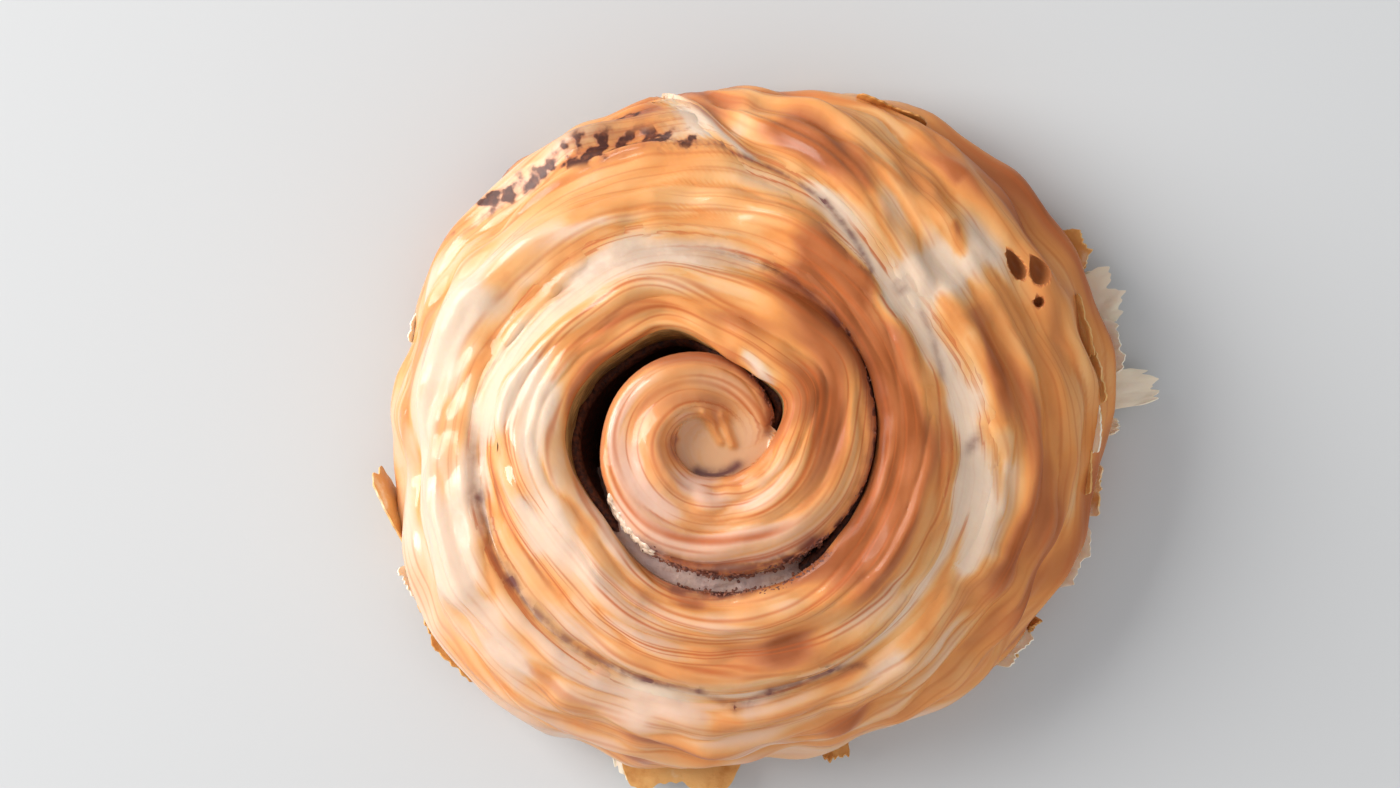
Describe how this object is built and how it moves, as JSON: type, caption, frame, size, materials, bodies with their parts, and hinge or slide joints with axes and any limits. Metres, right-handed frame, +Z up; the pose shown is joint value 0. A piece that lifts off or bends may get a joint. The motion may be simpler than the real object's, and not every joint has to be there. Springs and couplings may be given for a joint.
{
  "type": "cinnamon roll",
  "caption": "Glazed cinnamon roll: a strip of laminated dough wound into a low dome, with a dark cinnamon layer between its turns and flakes lifting off its flank.",
  "frame": {"origin": "on the flat base, under the middle of the roll's box", "axes": "+Z up out of the crown; +Y away from the viewer of the picture and +X to its right, so that the loose end of the strip lies on the +Y side"},
  "size_m": [0.1262, 0.1172, 0.0384],
  "materials": {
    "baked_dough": null,
    "cinnamon_paste": null,
    "sugar_glaze": null
  },
  "bodies": {
    "root": {"dough_coil": "baked_dough", "cinnamon_paste": "cinnamon_paste"}
  },
  "joints": []
}
